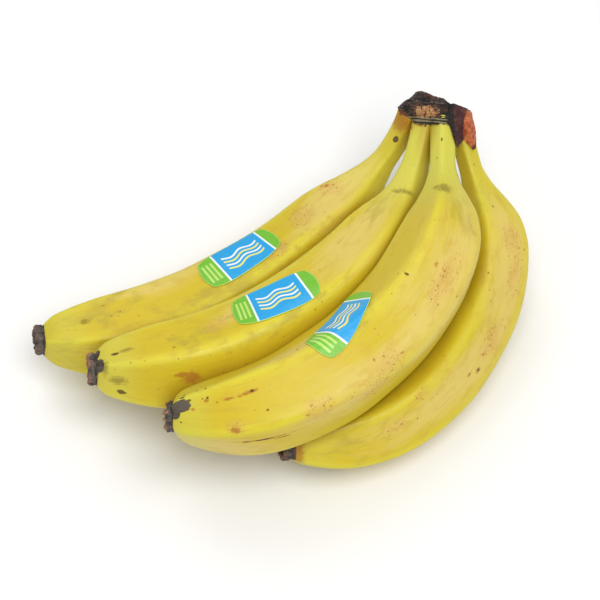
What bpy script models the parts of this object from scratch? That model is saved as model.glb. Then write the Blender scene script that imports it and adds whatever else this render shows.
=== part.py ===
"""A bunch of four bananas on one cut crown, lying on its side.

Each fruit is a five-sided tube swept along its own curve, from the crown to the
dried blossom at its tip. Where two fruits lean on each other both are pressed
flat, and the two that carry the bunch are flat where they touch the table.
"""
from math import pi

import bmesh
import bpy
import numpy as np

MM = 0.001

# The bunch's best side looks halfway between up and front. Angles around a
# fruit start there and turn towards the hollow side of its curve.
FACE_SIDE = np.array([0.0, -0.53, 0.848])
CROWN_SIDE = np.array([0.0, 0.848, 0.53])
ACROSS_SIDE = np.array([1.0, 0.0, 0.0])
CENTRE_SHIFT = np.array([7.89, -3.17, 0.0]) * MM

# Shares of the greatest radius along a fruit, from the crown to the tip.
SWELL = ((0.0, 0.26), (0.11, 0.26), (0.155, 0.335), (0.206, 0.53), (0.258, 0.755), (0.31, 0.88),
         (0.386, 0.95), (0.50, 0.99), (0.60, 1.0), (0.70, 0.985), (0.80, 0.932), (0.876, 0.85),
         (0.927, 0.735), (0.968, 0.59), (0.988, 0.48), (1.0, 0.34))

# Each route runs down the middle of a fruit, in millimetres. The ridge is the one
# nearest the bunch's best side: share along the fruit and degrees around it. The
# fruit's other ridges keep an even distance from it.
FRUITS = {
    "banana_1": {
        "radius": 19.7 * MM,
        "route": ((49.0, 77.5, 61.2), (41.2, 69.8, 47.0), (27.4, 56.8, 34.0), (8.4, 37.3, 23.0),
                  (-20.1, 14.5, 19.3), (-58.5, -6.2, 19.4), (-109.2, -18.5, 27.5)),
        "ridge": ((0.0, -8), (0.19, -8), (0.37, 10), (0.6, 4), (0.85, -3), (1.0, -8)),
    },
    "banana_2": {
        "radius": 20.3 * MM,
        "route": ((55.4, 75.5, 63.0), (45.8, 42.3, 46.6), (29.0, 14.0, 38.2), (5.7, -8.6, 36.4),
                  (-20.6, -26.4, 35.4), (-50.9, -36.6, 36.5), (-84.4, -40.9, 40.2)),
        "ridge": ((0.0, -14), (0.18, -6), (0.34, 3), (0.49, 6), (0.71, 13), (1.0, 9)),
    },
    "banana_3": {
        "radius": 20.0 * MM,
        "route": ((62.9, 73.8, 64.8), (61.9, 39.8, 59.3), (58.6, 7.1, 58.4), (40.5, -23.4, 52.2),
                  (10.8, -49.9, 49.5), (-22.5, -64.2, 47.1), (-50.9, -65.6, 44.8)),
        "ridge": ((0.0, 8), (0.2, 10), (0.4, 26), (0.51, 30), (0.69, 41), (0.83, 48), (1.0, 38)),
    },
    "banana_4": {
        "radius": 18.2 * MM,
        "route": ((70.5, 74.7, 61.0), (76.2, 56.8, 45.2), (83.5, 34.2, 36.6), (79.2, 5.5, 25.1),
                  (61.0, -27.5, 18.9), (31.7, -54.0, 16.9), (-2.2, -67.4, 22.8)),
        "ridge": ((0.0, 3), (0.31, 7), (0.4, 3), (0.65, 3), (0.76, 9), (0.91, 16), (1.0, 18)),
    },
}
# Rings stand closer together at the two ends of a fruit.
RING_SPACING = ((0.0, 0.0), (0.08, 0.06), (0.88, 0.92), (1.0, 1.0))
ROUTE_SAMPLES = 240
# Five sides between five ridges, with five strips of the skin on each.
FACETS = (36, 108, 180, 252, 324)
SIDES = 25
RINGS = 34
TOUCH_GAP = 0.45 * MM
# Pressing in searches between this share of the reach and the whole of it.
PRESS_FLOOR = 0.2
PRESS_STEPS = 16
# Powers of the five-sided section in the middle of a fruit and at its ends.
RIDGE_SOFT = 5.0
RIDGE_CRISP = 9.0
CIRCLE_SAMPLES = 48

TIP_LENGTH = 5.5 * MM
TIP_RADIUS = 6.0 * MM
TIP_GAP = 0.35 * MM
TIP_SIDES = 18
TIP_LOBES = 5
TIP_LOBE_HEIGHT = 0.12
TIP_PROFILE = ((0.0, 0.86), (0.15, 1.0), (0.45, 0.95), (0.7, 0.70), (0.85, 0.50), (1.0, 0.30))

LABEL_LENGTH = 41.0 * MM
LABEL_WIDTH = 19.0 * MM
LABEL_LIFT = 0.45 * MM
LABEL_THICKNESS = 0.4 * MM
LABEL_GRID = (10, 6)
# How much a label's width narrows at its ends, and its length along its sides.
LABEL_END_ROUND = 0.40
LABEL_SIDE_ROUND = 0.18
# Where each label lies: share along the fruit, degrees around it, and its tilt
# from the fruit's direction.
LABELS = {
    "label_1": ("banana_1", 0.54, 46.0, -3.0),
    "label_2": ("banana_2", 0.60, 42.0, 11.0),
    "label_3": ("banana_3", 0.607, 55.0, -18.0),
}

# The crown's middle, in millimetres across, along the necks and towards the face.
CROWN_CENTRE = (58.8, 92.8, 13.2)
CROWN_HALF_WIDTH = 18.9 * MM
CROWN_HALF_DEPTH = 10.8 * MM
CROWN_FLAP = 9.5 * MM
CROWN_SIDES = 32
CROWN_ROWS = 9
CROWN_RIM = 0.75
CROWN_SQUARENESS = 2.6
# Folds down the crown's side: height, count around, turn, and twist up to the cut.
CROWN_FOLDS = ((0.035, 5, 0.6, 0.0), (0.025, 9, 0.0, 2.0))
# Where the flap over the last fruit's neck starts and where it hangs in full.
FLAP_SPAN = (0.35, 0.8)
# How far the crown's outline draws in from its lower edge to its cut, on the
# side of the first fruit and on the side of the last.
DRAW_IN_FIRST = ((0.0, 0.97), (0.3, 0.96), (0.55, 0.82), (0.75, 0.58), (1.0, 0.12))
DRAW_IN_LAST = ((0.0, 0.98), (0.3, 1.0), (0.55, 0.95), (0.75, 0.82), (1.0, 0.16))
# The slope of the cut from the first fruit to the last, in millimetres.
CROWN_TOP = ((-1.0, 7.0), (-0.6, 11.0), (-0.36, 14.4), (0.2, 11.3), (0.84, 6.6), (1.0, 5.0))
SOCKET_GAP = 0.4 * MM
# Share of a fruit's length that its socket reaches down.
SOCKET_DEPTH = 0.18
SOCKET_RINGS = 8

# Colour and roughness of each material.
SKIN = ((0.66, 0.50, 0.05, 1.0), 0.45)
BARK = ((0.05, 0.03, 0.02, 1.0), 0.85)
BLOSSOM = ((0.03, 0.025, 0.02, 1.0), 0.85)
FILM = ((0.02, 0.35, 0.70, 1.0), 0.3)


def clear_scene():
    for item in list(bpy.data.objects):
        bpy.data.objects.remove(item, do_unlink=True)


def make_material(name, colour, roughness):
    material = bpy.data.materials.new(name)
    material.use_nodes = True
    shader = material.node_tree.nodes["Principled BSDF"]
    shader.inputs["Base Color"].default_value = colour
    shader.inputs["Roughness"].default_value = roughness
    shader.inputs["Metallic"].default_value = 0.0
    return material


def natural_spline(points, count):
    """Even samples of the smooth curve through the points."""
    points = np.asarray(points, float)
    last = len(points) - 1
    knots = np.append(0.0, np.cumsum(np.linalg.norm(np.diff(points, axis=0), axis=1)))
    steps = np.diff(knots)
    matrix = np.eye(last + 1)
    bends = np.zeros_like(points)
    for k in range(1, last):
        matrix[k, k - 1:k + 2] = steps[k - 1], 2 * (steps[k - 1] + steps[k]), steps[k]
        ahead = (points[k + 1] - points[k]) / steps[k]
        behind = (points[k] - points[k - 1]) / steps[k - 1]
        bends[k] = 6 * (ahead - behind)
    bends = np.linalg.solve(matrix, bends)
    spots = np.linspace(0.0, knots[-1], count)
    k = np.clip(np.searchsorted(knots, spots, side="right") - 1, 0, last - 1)
    after = (knots[k + 1] - spots)[:, None]
    before = (spots - knots[k])[:, None]
    step = steps[k][:, None]
    return (bends[k] * after ** 3 / (6 * step) + bends[k + 1] * before ** 3 / (6 * step)
            + (points[k] / step - bends[k] * step / 6) * after
            + (points[k + 1] / step - bends[k + 1] * step / 6) * before)


def smooth_values(stations, spots):
    """Values between stations on a curve that doesn't overshoot them."""
    at, value = np.array(stations, float).T
    slope = np.diff(value) / np.diff(at)
    same_way = slope[:-1] * slope[1:] > 0
    middle = np.where(same_way, 2 * slope[:-1] * slope[1:] / (slope[:-1] + slope[1:] + 1e-12), 0.0)
    lean = np.concatenate(([slope[0]], middle, [slope[-1]]))
    spots = np.asarray(spots, float)
    k = np.clip(np.searchsorted(at, spots, side="right") - 1, 0, len(at) - 2)
    width = at[k + 1] - at[k]
    t = np.clip((spots - at[k]) / width, 0.0, 1.0)
    return (value[k] * (1 + 2 * t) * (1 - t) ** 2 + value[k + 1] * t * t * (3 - 2 * t)
            + width * (lean[k] * t * (1 - t) ** 2 - lean[k + 1] * t * t * (1 - t)))


def soft_polygon(around, crispness):
    """Radius share of a rounded five-sided section, with a ridge at angle 0."""
    turn = np.asarray(around)[..., None] - np.radians(FACETS)
    crispness = np.asarray(crispness)
    reach = np.clip(np.cos(turn), 0.0, None) ** crispness[..., None]
    return reach.sum(axis=-1) ** (-1.0 / crispness)


class Fruit:
    """One banana: its route, its radius along it and its ridges around it."""

    def __init__(self, radius, route, ridge):
        self.radius = radius
        self.ridge = ridge
        spots = natural_spline(np.array(route) * MM + CENTRE_SHIFT, ROUTE_SAMPLES)
        run = np.append(0.0, np.cumsum(np.linalg.norm(np.diff(spots, axis=0), axis=1)))
        self.length = run[-1]
        self.shares = run / run[-1]
        self.spots = spots
        self.way = np.gradient(spots, run, axis=0)
        self.widths = self.radius_at(self.shares)

    def radius_at(self, along):
        return self.radius * smooth_values(SWELL, np.clip(along, 0.0, 1.0))

    def ridge_at(self, along):
        return np.radians(smooth_values(self.ridge, np.clip(along, 0.0, 1.0)))

    def frame_at(self, along):
        """Middle, direction, face side and hollow side at shares of the route."""
        centre = np.stack([np.interp(along, self.shares, c) for c in self.spots.T], -1)
        way = np.stack([np.interp(along, self.shares, c) for c in self.way.T], -1)
        way /= np.linalg.norm(way, axis=-1, keepdims=True)
        face = FACE_SIDE - (way @ FACE_SIDE)[..., None] * way
        face /= np.linalg.norm(face, axis=-1, keepdims=True)
        return centre, way, face, np.cross(way, face)

    def surface(self, along, around, lift=0.0, neighbours=()):
        """Points on the skin, pressed in where a neighbour would be crossed."""
        centre, _, face, hollow = self.frame_at(along)
        width = self.radius_at(along)
        ends = np.abs(2 * np.clip(along, 0.0, 1.0) - 1) ** 2
        crispness = RIDGE_SOFT + (RIDGE_CRISP - RIDGE_SOFT) * ends
        circle = np.linspace(0, 2 * pi, CIRCLE_SAMPLES, endpoint=False)
        mean = soft_polygon(circle[:, None], crispness.ravel()[None]).mean(axis=0)
        share = soft_polygon(around - self.ridge_at(along), crispness)
        share = share / mean.reshape(crispness.shape)
        outward = face * np.cos(around)[..., None] + hollow * np.sin(around)[..., None]
        reach = width * share + lift
        for other in neighbours:
            reach = self.press(centre, outward, reach, width, other)
        return centre + outward * reach[..., None]

    def press(self, centre, outward, reach, width, other):
        """Reach that stays on this fruit's side of the surface between the two."""
        def overlap(trial):
            points = centre + outward * trial[..., None]
            apart = np.linalg.norm(points[..., None, :] - other.spots, axis=-1) - other.widths
            return (trial - width) + TOUCH_GAP - apart.min(axis=-1)

        crossing = overlap(reach) > 0
        low = reach * PRESS_FLOOR
        high = reach.copy()
        for _ in range(PRESS_STEPS):
            middle = (low + high) / 2
            inside = overlap(middle) > 0
            high = np.where(inside, middle, high)
            low = np.where(inside, low, middle)
        return np.where(crossing, low, reach)


def wrapped_grid(sides, rings, place):
    """A closed tube: a flat grid rolled up by place(row share, angle)."""
    shape = bmesh.new()
    bmesh.ops.create_grid(shape, x_segments=sides, y_segments=rings, size=1.0)
    spots = np.array([vert.co for vert in shape.verts])
    points = place((spots[:, 1] + 1) / 2, spots[:, 0] * pi)
    for vert, point in zip(shape.verts, points):
        vert.co = point
    bmesh.ops.remove_doubles(shape, verts=shape.verts, dist=0.001 * MM)
    rims = [edge for edge in shape.edges if edge.is_boundary]
    bmesh.ops.holes_fill(shape, edges=rims, sides=0)
    bmesh.ops.recalc_face_normals(shape, faces=shape.faces)
    return shape


def add_object(name, shape, material):
    mesh = bpy.data.meshes.new(name)
    shape.to_mesh(mesh)
    shape.free()
    mesh.materials.append(material)
    mesh.shade_smooth()
    item = bpy.data.objects.new(name, mesh)
    bpy.context.scene.collection.objects.link(item)
    return item


def rest_on_table(points):
    """Nothing reaches below the table: what would is pressed flat on it."""
    points[:, 2] = np.maximum(points[:, 2], 0.0)
    return points


def make_fruit(name, fruits, skin):
    fruit = fruits[name]
    others = [other for other in fruits.values() if other is not fruit]

    def place(row, around):
        along = smooth_values(RING_SPACING, row)
        around = around + fruit.ridge_at(along)
        return rest_on_table(fruit.surface(along, around, 0.0, others))

    return add_object(name, wrapped_grid(SIDES, RINGS, place), skin)


def make_blossom_tip(name, fruit, material):
    """The dried flower's stub: a lobed rim round a short point."""
    centre, way, face, hollow = (part[0] for part in fruit.frame_at(np.array([1.0])))

    def place(row, around):
        lobes = 1 + TIP_LOBE_HEIGHT * np.sin(pi * row) * np.cos(TIP_LOBES * around)
        radius = TIP_RADIUS * smooth_values(TIP_PROFILE, row) * lobes
        far = TIP_GAP + TIP_LENGTH * row
        out = face * np.cos(around)[:, None] + hollow * np.sin(around)[:, None]
        return centre + way * far[:, None] + out * radius[:, None]

    return add_object(name, wrapped_grid(TIP_SIDES, len(TIP_PROFILE), place), material)


def make_label(name, fruit, along, degrees, tilt, material):
    """A thin round-cornered label that lies on the skin."""
    shape = bmesh.new()
    columns, rows = LABEL_GRID
    bmesh.ops.create_grid(shape, x_segments=columns, y_segments=rows, size=1.0)
    spots = np.array([vert.co for vert in shape.verts])
    u, v = spots[:, 0], spots[:, 1]
    u, v = u * np.sqrt(1 - LABEL_SIDE_ROUND * v ** 2), v * np.sqrt(1 - LABEL_END_ROUND * u ** 4)
    u, v = u * LABEL_LENGTH / 2, v * LABEL_WIDTH / 2
    lean = np.radians(tilt)
    shares = along + (u * np.cos(lean) - v * np.sin(lean)) / fruit.length
    around = np.radians(degrees) + (u * np.sin(lean) + v * np.cos(lean)) / fruit.radius
    for vert, point in zip(shape.verts, fruit.surface(shares, around, LABEL_LIFT)):
        vert.co = point
    item = add_object(name, shape, material)
    wall = item.modifiers.new("Thickness", "SOLIDIFY")
    wall.thickness = LABEL_THICKNESS
    wall.offset = -1.0
    return item


def crown_place(row, around):
    """The crown's skin, from its ragged lower edge to its sloping cut."""
    across = np.cos(around)
    toward = np.sin(around)
    corner = np.abs(across) ** CROWN_SQUARENESS + np.abs(toward) ** CROWN_SQUARENESS
    corner = corner ** (-1 / CROWN_SQUARENESS)
    folds = 1.0
    for height, count, turn, twist in CROWN_FOLDS:
        folds = folds + height * np.sin(count * around + turn + twist * row)

    def outline(level):
        last = (across + 1) / 2
        draw_in = (1 - last) * smooth_values(DRAW_IN_FIRST, level)
        draw_in += last * smooth_values(DRAW_IN_LAST, level)
        return across * corner * draw_in, toward * corner * draw_in

    x, z = outline(row)
    rim_x = outline(np.full_like(row, CROWN_RIM))[0]
    start, full = FLAP_SPAN
    lower = -CROWN_FLAP * smooth_values(((start, 0.0), (full, 1.0)), np.clip(across, start, full))
    upper = MM * smooth_values(CROWN_TOP, np.where(row < CROWN_RIM, rim_x, x))
    height = lower + (upper - lower) * np.clip(row / CROWN_RIM, 0.0, 1.0)
    middle = np.array(CROWN_CENTRE) * MM
    x = middle[0] + CROWN_HALF_WIDTH * x * folds
    z = middle[2] + CROWN_HALF_DEPTH * z * folds
    y = middle[1] + height
    return x[:, None] * ACROSS_SIDE + y[:, None] * CROWN_SIDE + z[:, None] * FACE_SIDE + CENTRE_SHIFT


def make_crown(fruits, material):
    crown = add_object("crown", wrapped_grid(CROWN_SIDES, CROWN_ROWS, crown_place), material)
    for name, fruit in fruits.items():

        def place(row, around, fruit=fruit):
            points = fruit.surface(SOCKET_DEPTH * row, around, SOCKET_GAP)
            return points - fruit.way[0] * SOCKET_GAP * (1 - row)[:, None]

        cutter = add_object("socket_" + name, wrapped_grid(SIDES, SOCKET_RINGS, place), material)
        cutter.hide_render = True
        cutter.display_type = "WIRE"
        cut = crown.modifiers.new("Socket " + name, "BOOLEAN")
        cut.operation = "DIFFERENCE"
        cut.object = cutter
    return crown


def main():
    clear_scene()
    skin = make_material("banana_skin", *SKIN)
    dry = make_material("dried_blossom", *BLOSSOM)
    bark = make_material("crown_bark", *BARK)
    film = make_material("label_film", *FILM)
    fruits = {name: Fruit(**facts) for name, facts in FRUITS.items()}
    for number, name in enumerate(fruits, start=1):
        make_fruit(name, fruits, skin)
        make_blossom_tip("blossom_tip_%d" % number, fruits[name], dry)
    for name, (fruit, along, degrees, tilt) in LABELS.items():
        make_label(name, fruits[fruit], along, degrees, tilt, film)
    make_crown(fruits, bark)


main()
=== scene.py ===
from math import cos, pi, radians, sin

import bmesh
import bpy
import numpy as np
from bpy.props import FloatProperty, FloatVectorProperty, IntProperty, PointerProperty
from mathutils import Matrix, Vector, noise


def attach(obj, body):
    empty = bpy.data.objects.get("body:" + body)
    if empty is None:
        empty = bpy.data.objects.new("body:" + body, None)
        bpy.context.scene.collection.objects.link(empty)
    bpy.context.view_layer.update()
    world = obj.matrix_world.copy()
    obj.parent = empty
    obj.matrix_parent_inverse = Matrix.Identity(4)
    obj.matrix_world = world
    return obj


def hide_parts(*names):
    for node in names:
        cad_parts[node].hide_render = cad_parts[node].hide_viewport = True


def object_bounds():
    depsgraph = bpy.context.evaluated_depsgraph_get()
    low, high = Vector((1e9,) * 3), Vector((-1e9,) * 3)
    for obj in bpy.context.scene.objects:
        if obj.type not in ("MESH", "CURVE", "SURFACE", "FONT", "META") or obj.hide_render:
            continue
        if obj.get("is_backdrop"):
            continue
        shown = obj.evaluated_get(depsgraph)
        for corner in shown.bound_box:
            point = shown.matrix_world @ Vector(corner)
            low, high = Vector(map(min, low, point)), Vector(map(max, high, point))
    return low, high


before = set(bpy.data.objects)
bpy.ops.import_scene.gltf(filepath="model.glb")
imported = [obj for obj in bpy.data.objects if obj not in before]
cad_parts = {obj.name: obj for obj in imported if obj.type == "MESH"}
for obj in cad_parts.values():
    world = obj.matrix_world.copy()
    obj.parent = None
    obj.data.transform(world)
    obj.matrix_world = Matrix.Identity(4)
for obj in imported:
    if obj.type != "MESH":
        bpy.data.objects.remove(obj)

bl_info = {
    "name": "Bunch of Bananas",
    "version": (1, 0, 0),
    "blender": (4, 5, 0),
    "location": "3D View > Sidebar > Bananas",
    "description": "Grows the skins, crown, blossom ends and labels of a bunch of bananas",
    "category": "Add Mesh",
}

CAD_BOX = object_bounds()
MM = 0.001

# The bunch's best side looks halfway between up and front. Angles around a fruit
# start there and turn towards the hollow side of its curve.
FACE_SIDE = np.array([0.0, -0.53, 0.848])
CROWN_SIDE = np.array([0.0, 0.848, 0.53])
ACROSS_SIDE = np.array([1.0, 0.0, 0.0])
CENTRE_SHIFT = np.array([7.89, -3.17, 0.0]) * MM

# Shares of the greatest radius along a fruit, from the crown to the tip.
SWELL = ((0.0, 0.265), (0.11, 0.27), (0.155, 0.35), (0.206, 0.54), (0.258, 0.755), (0.31, 0.88),
         (0.386, 0.95), (0.50, 0.99), (0.60, 1.0), (0.70, 0.985), (0.80, 0.932), (0.876, 0.85),
         (0.927, 0.735), (0.968, 0.60), (0.988, 0.51), (1.0, 0.41), (1.006, 0.36), (1.012, 0.295))
# Share of the table that lies past the end of a fruit's route.
TAIL_SHARE = 0.012

# Each route runs down the middle of a fruit, in millimetres. The ridge is the one
# nearest the best side: share along the fruit and degrees around it.
FRUITS = {
    "banana_1": {
        "radius": 19.7 * MM,
        "route": ((49.0, 77.5, 61.2), (41.2, 69.8, 47.0), (27.4, 56.8, 34.0), (8.4, 37.3, 23.0),
                  (-20.1, 14.5, 19.3), (-58.5, -6.2, 19.4), (-109.2, -18.5, 27.5)),
        "ridge": ((0.0, -8), (0.19, -8), (0.37, 10), (0.6, 4), (0.85, -3), (1.0, -8)),
        "tail": 2.0 * MM,
    },
    "banana_2": {
        "radius": 20.3 * MM,
        "neck": 0.035,
        "route": ((55.4, 75.5, 63.0), (45.8, 42.3, 46.6), (29.0, 14.0, 38.2), (5.7, -8.6, 36.4),
                  (-20.6, -26.4, 35.4), (-50.9, -36.6, 36.5), (-84.4, -40.9, 40.2)),
        "ridge": ((0.0, -14), (0.18, -6), (0.34, 3), (0.49, 6), (0.71, 13), (1.0, 9)),
        "tail": 1.6 * MM,
    },
    "banana_3": {
        "radius": 20.0 * MM,
        "route": ((62.9, 73.8, 64.8), (61.9, 39.8, 59.3), (58.6, 7.1, 58.4), (40.5, -23.4, 52.2),
                  (10.8, -49.9, 49.5), (-22.5, -64.2, 47.1), (-50.9, -65.6, 44.8)),
        "ridge": ((0.0, 8), (0.2, 10), (0.4, 26), (0.51, 30), (0.69, 41), (0.83, 48), (1.0, 38)),
        "tail": 1.2 * MM,
    },
    "banana_4": {
        "radius": 18.2 * MM,
        "route": ((70.5, 74.7, 61.0), (76.2, 56.8, 45.2), (83.5, 34.2, 36.6), (79.2, 5.5, 25.1),
                  (61.0, -27.5, 18.9), (31.7, -54.0, 16.9), (-2.2, -67.4, 22.8)),
        "ridge": ((0.0, 3), (0.31, 7), (0.4, 3), (0.65, 3), (0.76, 9), (0.91, 16), (1.0, 18)),
        "tail": 3.2 * MM,
    },
}
ROUTE_SAMPLES = 240
FACETS = (36, 108, 180, 252, 324)
# How sharp the ridges are, along a fruit.
CRISPNESS = ((0.0, 6.0), (0.17, 7.0), (0.27, 12.0), (0.50, 8.5), (0.80, 12.0), (1.0, 16.0))
TOUCH_GAP = 0.12 * MM
PRESS_FLOOR = 0.2
PRESS_STEPS = 14
# Where a neck may be thicker than the table says, and over how much of the fruit.
NECK_AT = 0.135
NECK_HALF = 0.04
NECK_FLARE = 0.16
NECK_FLARE_REACH = 0.022

RING_SPACING = ((0.0, 0.0), (0.08, 0.06), (0.9, 0.93), (1.0, 1.0))
# How green each neck and tip is, and the number that its unevenness grows from.
HABITS = {
    "banana_1": (0.35, 0.35, 11),
    "banana_2": (0.80, 0.50, 12),
    "banana_3": (0.85, 0.45, 13),
    "banana_4": (0.40, 0.30, 14),
}
# Shares along a fruit: where its neck's green fades, where its tip's green grows and
# how far its dark end reaches.
NECK_GREEN = (0.13, 0.30)
TIP_GREEN = (0.90, 0.97)
DARK_END = 0.006
# How near a neighbour the painted shade between fruits is darkest, and how soft some marks' edges
# are.
GAP_SHADE_NEAR = 0.3 * MM
DRIED_EDGE = (0.45, 0.8)
# The ochre marks are painted shadow where one fruit shades another: how soft their edges are, and
# how strongly they join the painted shade between fruits.
OCHRE_SHADOW_EDGE = (0.5, 0.75)
OCHRE_SHADOW_SHARE = 0.6
MARK_KINDS = ("fleck", "rust", "bruise", "tan", "scar", "scratch", "dried", "cream_and_sheen", "olive",
              "ochre")
SCAR_HEART = (0.16, 0.13, 0.12)
SCRATCH = (0.80, 0.70, 0.40)
# Marks on the skins, by kind: share along, degrees around, length and width in mm.
# The cream marks are partly paler skin and partly painted sheen on the faces that the light falls
# on.
MARKS = {
    "banana_1": {
        "dried": ((0.982, 86, 15, 4.5),),
        "rust": ((0.015, 40, 12, 14), (0.03, 100, 16, 8), (0.247, 58, 2.4, 1.6),
            (0.236, 52, 1.2, 1), (0.255, 64, 1.4, 1), (0.88, 52, 3, 0.9), (0.868, 31, 1.2, 1),
            (0.61, -7, 2.6, 1.4), (0.36, 3, 1, 0.9), (0.946, 17, 1, 0.9), (0.55, -130, 8, 4)),
        "cream_and_sheen": ((0.25, 50, 60, 30), (0.7, 70, 60, 14)),
        "tan": ((0.24, 50, 14, 14), (0.35, 45, 26, 16), (0.46, 20, 14, 10), (0.6, 170, 40, 14)),
        "olive": ((0.55, 12, 80, 14), (0.9, 45, 40, 22), (0.95, -45, 26, 22)),
        "scar": ((0.06, 7, 3.4, 2.6),),
        "fleck": ((0.848, 35, 1.3, 0.8), (0.367, 49, 1, 0.9), (0.443, 13, 0.8, 0.8),
            (0.643, -2, 1.8, 1), (0.178, 70, 4.6, 0.8), (0.3, 150, 1.4, 1)),
        "bruise": ((0.925, 30, 6, 3),),
    },
    "banana_2": {
        "dried": ((1.003, 14, 6, 8), (1.006, 62, 4, 5)),
        "cream_and_sheen": ((0.34, 40, 70, 22), (0.66, 58, 40, 12)),
        "olive": ((0.78, 40, 34, 16), (0.62, 8, 60, 5), (0.25, 45, 24, 14)),
        "bruise": ((0.185, 4, 3, 9), (0.19, 28, 2.4, 6), (0.965, -22, 8.5, 5), (0.945, 40, 7, 3),
            (0.992, 6, 4, 7), (0.4, 160, 9, 4)),
        "rust": ((0.02, 75, 4, 7), (0.822, -18, 8, 6.4), (0.838, -12, 7, 3), (0.94, 11, 1.2, 1),
            (0.848, 27, 2.4, 1.3), (0.8, 30, 1.6, 1), (0.036, 61, 1.8, 1.8), (0.026, 20, 2.4, 4)),
        "fleck": ((0.958, -46, 4.5, 2), (0.97, 36, 3.6, 1.6), (0.844, 10, 0.9, 0.8),
            (0.028, -5, 1.2, 1)),
        "tan": ((0.74, 45, 20, 10), (0.5, -150, 44, 16)),
        "scratch": ((0.735, 12, 34, 0.5),),
    },
    "banana_3": {
        "dried": ((0.986, 24, 12, 6.5), (0.997, 16, 7, 9.5)),
        "cream_and_sheen": ((0.42, -30, 95, 34), (0.66, -22, 70, 26), (0.72, 60, 44, 12),
            (0.93, -75, 34, 22)),
        # The bruise at 0.15 along and -76 degrees is painted shade on the far side of the neck.
        "bruise": ((0.205, 2, 7, 8), (0.198, 20, 2.4, 5), (0.15, -76, 22, 5), (0.196, 4, 1.6, 8)),
        "olive": ((0.27, -30, 26, 18), (0.6, 30, 30, 10)),
        "fleck": ((0.982, 41, 2.6, 1), (0.968, 32, 2.4, 1), (0.978, 48, 1.8, 0.9),
            (0.952, 49, 1.4, 0.9), (0.944, 60, 1, 0.8), (0.934, 47, 1.5, 1), (0.94, 31, 1, 0.8),
            (0.93, 31, 1.3, 1), (0.843, 27, 2, 1.5), (0.826, -4, 1.5, 1.1), (0.985, -12, 1, 0.8),
            (0.727, 53, 1.3, 1), (0.872, -48, 5, 0.8), (0.812, -53, 6.5, 0.7),
            (0.435, 25, 1.2, 2.6), (0.387, -67, 0.9, 0.8), (0.641, -55, 1.2, 1),
            (0.747, -55, 1, 0.8), (0.068, 9, 2, 0.8), (0.11, 32, 0.9, 0.8)),
        "rust": ((0.912, 22, 1.4, 1.3), (0.868, 24, 2, 1.4), (0.85, 26, 9, 1.8),
            (0.89, 24, 6, 1.4), (0.884, -21, 4, 3), (0.808, 27, 1, 0.8), (0.834, 38, 1, 0.8),
            (0.932, 27, 2.6, 1.6), (0.96, 15, 2.2, 1.4), (0.84, -48, 26, 1.6),
            (0.443, 35, 1.8, 0.9), (0.385, 0, 3, 1.8), (0.491, -11, 1, 0.8), (0.563, -30, 1.8, 1),
            (0.617, -14, 1.4, 1.2), (0.59, -33, 1.2, 1), (0.615, -40, 2.4, 1.2),
            (0.679, -30, 1.2, 1), (0.7, -27, 1.8, 1), (0.721, -22, 1.2, 1),
            (0.36, 150, 2.4, 1.4)),
        "tan": ((0.884, -18, 10, 8), (0.745, -28, 16, 12), (0.6, -26, 20, 14),
            (0.65, -38, 22, 12), (0.4, -20, 34, 12), (0.5, 170, 50, 20)),
        "scar": ((0.842, -48, 7, 1.1),),
    },
    "banana_4": {
        "dried": ((1.014, 0, 3, 30),),
        "rust": ((1.006, 0, 5, 30), (0.585, -44, 3.6, 2.4), (0.521, -31, 1.4, 1),
            (0.529, -41, 1.8, 1.2), (0.555, -37, 2, 1.4), (0.607, -36, 2.6, 1.4),
            (0.108, -20, 1.4, 1), (0.7, -110, 7, 3)),
        # The ochre marks are painted shadow on the side that banana_3 shades.
        "ochre": ((0.35, 42, 90, 26), (0.68, 40, 110, 24), (0.12, 40, 40, 8)),
        "cream_and_sheen": ((0.36, -26, 80, 24), (0.66, -22, 80, 22)),
        "olive": ((0.2, 20, 16, 18), (0.92, 0, 40, 20)),
        "tan": ((0.3, -32, 20, 12), (0.51, -40, 22, 14), (0.53, -36, 18, 10), (0.717, 1, 10, 6),
            (0.8, -16, 14, 8), (0.36, -42, 30, 10), (0.6, -160, 46, 18)),
        "fleck": ((0.585, -44, 1.8, 1.1), (0.381, 4, 1, 0.8), (0.749, -24, 1, 0.9),
            (0.226, -13, 1.2, 0.8), (0.44, -120, 1.6, 1.2)),
    },
}

CROWN_CENTRE = (58.8, 92.8, 13.2)
CROWN_HALF_WIDTH = 18.6
CROWN_HALF_DEPTH = 10.6
CROWN_RIM = 0.75
CROWN_SQUARENESS = 2.6
DRAW_IN_FIRST = ((0.0, 0.88), (0.3, 0.84), (0.55, 0.74), (0.75, 0.60), (1.0, 0.0))
DRAW_IN_LAST = ((0.0, 0.965), (0.3, 0.935), (0.55, 0.89), (0.75, 0.84), (1.0, 0.0))
CROWN_TOP = ((-1.0, 6.4), (-0.8, 8.3), (-0.6, 11.0), (-0.37, 14.2), (0.2, 10.6), (0.3, 9.8),
             (0.84, 6.6), (1.0, 5.2))
# Height of the crown's ragged lower edge, in millimetres, from left to right:
# over the front of the necks and behind them.
FRONT_EDGE = ((-18.6, 5.6), (-16.0, 4.8), (-12.4, 3.2), (-9.5, 1.2), (-7.4, 0.1), (6.5, -0.5),
              (7.6, -3.3), (8.7, -7.3), (9.8, -10.5), (11.3, -8.6), (13.0, -6.8), (14.8, -8.6),
              (16.5, -10.7), (17.6, -9.0), (18.6, -5.0))
BACK_EDGE = ((-18.6, 6.0), (-15.0, 1.5), (-9.0, -1.0), (-3.0, 0.5), (3.0, -1.5), (8.0, -1.0),
             (12.0, -5.5), (15.0, -4.0), (18.6, -5.0))

# How far the crown stays outside the necks, and how high they reach in it, in millimetres.
NECK_MARGIN = 0.9
NECK_TOP = 5.8
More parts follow.
